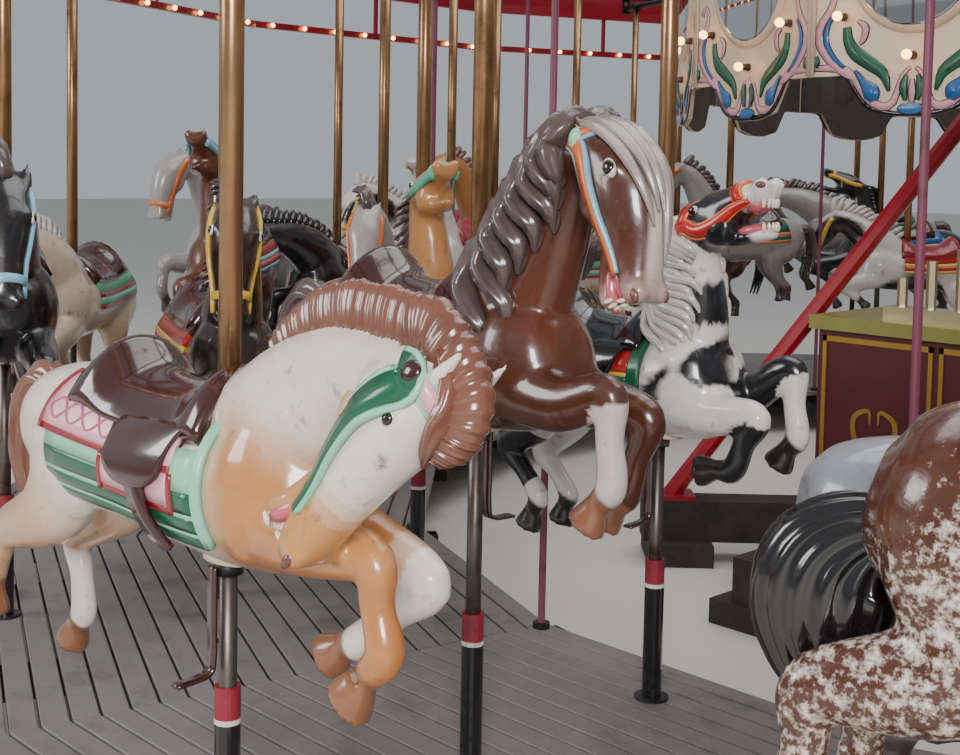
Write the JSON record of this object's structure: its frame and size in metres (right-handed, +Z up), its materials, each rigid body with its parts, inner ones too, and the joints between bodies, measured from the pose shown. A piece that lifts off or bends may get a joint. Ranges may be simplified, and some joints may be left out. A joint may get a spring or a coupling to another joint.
{
  "type": "three-abreast galloping-horse fairground carousel",
  "caption": "Fairground carousel: ranks of jumping horses on poles ride a turning platform round a braced centre mast with a band organ.",
  "frame": {"origin": "on the ground under the centre mast", "axes": "+Z up along the mast; -Y out through the middle of the first rank; horses of the first rank face +X"},
  "size_m": [11.534, 11.534, 3.67],
  "materials": {
    "board": "worn grey paint",
    "timber": "dark stained",
    "crimson_wood": "gloss paint",
    "cream_wood": "gloss paint",
    "gilt_wood": "gilded",
    "horse_tan": "varnished paint",
    "horse_brown": "varnished paint",
    "horse_white": "varnished paint",
    "horse_grey": "varnished paint",
    "pole": "polished",
    "crimson_steel": "gloss paint",
    "black_steel": "gloss paint",
    "pipe": "polished"
  },
  "bodies": {
    "centre": {"centre_sills": "timber", "centre_mast": "timber", "centre_brace_1": "crimson_steel", "centre_brace_2": "crimson_steel", "centre_brace_3": "crimson_steel", "centre_brace_4": "crimson_steel", "organ_case": "crimson_wood", "organ_top": "gilt_wood", "organ_pipes": "pipe"},
    "turntable": {"platform_1": "board", "platform_2": "board", "platform_3": "board", "platform_4": "board", "platform_5": "board", "platform_6": "board", "platform_7": "board", "platform_8": "board", "rank_3": "horse_white", "rank_4": "horse_brown", "rank_5": "horse_white", "rank_6": "horse_brown", "rank_7": "horse_white", "rank_8": "horse_brown", "rank_9": "horse_white", "rank_10": "horse_brown", "rank_11": "horse_white", "rank_12": "horse_brown", "rank_13": "horse_white", "rank_14": "horse_brown", "rank_15": "horse_white", "crankshaft_1": "black_steel", "crankshaft_2": "black_steel", "crankshaft_16": "black_steel", "sweep_frame": "timber", "outer_rim": "crimson_wood", "inner_cornice": "cream_wood"},
    "jumper_1_outer": {"horse_1_outer": "horse_tan", "pole_1_outer": "pole"},
    "jumper_1_middle": {"horse_1_middle": "horse_brown", "pole_1_middle": "pole"},
    "jumper_1_inner": {"horse_1_inner": "horse_white", "pole_1_inner": "pole"},
    "jumper_2_outer": {"horse_2_outer": "horse_grey"},
    "jumper_2_middle": {"horse_2_middle": "horse_grey"},
    "jumper_2_inner": {"horse_2_inner": "horse_grey"},
    "jumper_16_outer": {"horse_16_outer": "horse_grey"},
    "jumper_16_middle": {"horse_16_middle": "horse_grey"},
    "jumper_16_inner": {"horse_16_inner": "horse_grey"}
  },
  "joints": [
    {"name": "turntable_spin", "type": "hinge", "parent": "centre", "child": "turntable", "pos_m": [0, 0, 0], "axis": [0, 0, 1], "continuous": true},
    {"name": "jump_1_outer", "type": "slide", "parent": "turntable", "child": "jumper_1_outer", "axis": [0, 0, 1], "range_m": [-0.03, 0.21]},
    {"name": "jump_1_middle", "type": "slide", "parent": "turntable", "child": "jumper_1_middle", "axis": [0, 0, 1], "range_m": [-0.23, 0.01]},
    {"name": "jump_1_inner", "type": "slide", "parent": "turntable", "child": "jumper_1_inner", "axis": [0, 0, 1], "range_m": [-0.1, 0.14]},
    {"name": "jump_2_outer", "type": "slide", "parent": "turntable", "child": "jumper_2_outer", "axis": [0, 0, 1], "range_m": [-0.21, 0.03]},
    {"name": "jump_2_middle", "type": "slide", "parent": "turntable", "child": "jumper_2_middle", "axis": [0, 0, 1], "range_m": [-0.01, 0.23]},
    {"name": "jump_2_inner", "type": "slide", "parent": "turntable", "child": "jumper_2_inner", "axis": [0, 0, 1], "range_m": [-0.14, 0.1]},
    {"name": "jump_16_outer", "type": "slide", "parent": "turntable", "child": "jumper_16_outer", "axis": [0, 0, 1], "range_m": [-0.21, 0.03]},
    {"name": "jump_16_middle", "type": "slide", "parent": "turntable", "child": "jumper_16_middle", "axis": [0, 0, 1], "range_m": [-0.01, 0.23]},
    {"name": "jump_16_inner", "type": "slide", "parent": "turntable", "child": "jumper_16_inner", "axis": [0, 0, 1], "range_m": [-0.14, 0.1]}
  ],
  "couplings": [
    {"joint": "jump_2_outer", "follows": "jump_1_outer", "ratio": -1},
    {"joint": "jump_2_middle", "follows": "jump_1_middle", "ratio": -1},
    {"joint": "jump_2_inner", "follows": "jump_1_inner", "ratio": -1},
    {"joint": "jump_16_outer", "follows": "jump_1_outer", "ratio": -1},
    {"joint": "jump_16_middle", "follows": "jump_1_middle", "ratio": -1},
    {"joint": "jump_16_inner", "follows": "jump_1_inner", "ratio": -1}
  ]
}
